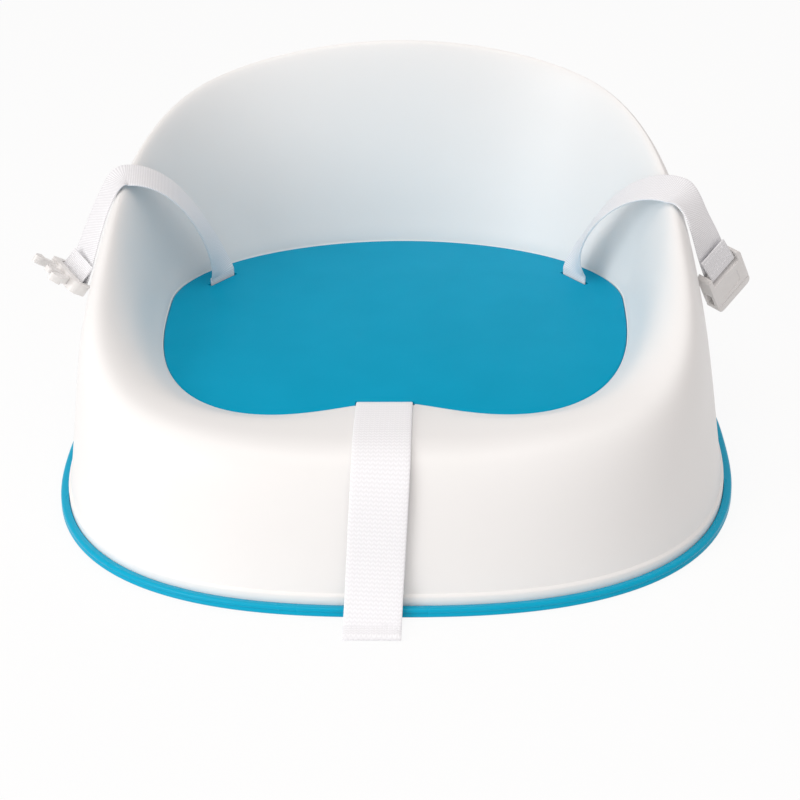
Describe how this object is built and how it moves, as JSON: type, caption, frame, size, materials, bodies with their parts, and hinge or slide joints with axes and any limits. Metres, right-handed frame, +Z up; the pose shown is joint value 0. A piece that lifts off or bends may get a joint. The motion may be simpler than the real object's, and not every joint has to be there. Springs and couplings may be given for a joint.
{
  "type": "chair booster seat",
  "caption": "Moulded child booster seat with a high curved back, foam seat pad, grippy base ring and a webbing harness that closes with a side-release buckle.",
  "frame": {"origin": "centre of the whole part's box, on the floor plane under the base ring", "axes": "+X to the seat's own right as seen from the front, +Y to the seat's back, +Z up; the sitter faces -Y"},
  "size_m": [0.4127, 0.3712, 0.203],
  "materials": {
    "shell": "satin moulded",
    "pad": "satin skinned foam",
    "ring": "matte",
    "webbing": "woven",
    "fitting": "satin moulded"
  },
  "bodies": {
    "base": {"seat_shell": "shell", "base_ring": "ring", "lap_strap_right": "webbing", "lap_strap_left": "webbing", "crotch_strap": "webbing", "strap_stop_right": "fitting", "strap_stop_left": "fitting", "strap_stop_front": "fitting"},
    "pad": {"seat_pad": "pad"},
    "lap_right": {"lap_strap_right_hanging": "webbing"},
    "lap_left": {"lap_strap_left_hanging": "webbing"},
    "crotch": {"crotch_strap_hanging": "webbing"},
    "buckle_right": {"buckle_female": "fitting"},
    "buckle_left": {"buckle_male": "fitting"}
  },
  "joints": [
    {"name": "pad_lift", "type": "slide", "parent": "base", "child": "pad", "axis": [0, 0, 1], "range_m": [0, 0.004]},
    {"name": "lap_right_swing", "type": "hinge", "parent": "base", "child": "lap_right", "pos_m": [0.16162, 0.03795, 0.15302], "axis": [-0.6919, -0.5484, -0.4697], "range_deg": [0, 110]},
    {"name": "lap_left_swing", "type": "hinge", "parent": "base", "child": "lap_left", "pos_m": [-0.16064, 0.0561, 0.15625], "axis": [-0.5662, 0.8176, 0.1043], "range_deg": [0, 110]},
    {"name": "crotch_swing", "type": "hinge", "parent": "base", "child": "crotch", "pos_m": [-0.003, -0.12268, 0.08499], "axis": [-1, 0, 0], "range_deg": [0, 110]},
    {"name": "buckle_right_turn", "type": "hinge", "parent": "lap_right", "child": "buckle_right", "pos_m": [0.1862, 0.02714, 0.11104], "axis": [0.6573, 0.5203, 0.5451], "range_deg": [-45, 12]},
    {"name": "buckle_left_turn", "type": "hinge", "parent": "lap_left", "child": "buckle_left", "pos_m": [-0.18628, 0.02214, 0.10755], "axis": [-0.6234, 0.7168, 0.3124], "range_deg": [-105, 8]}
  ]
}
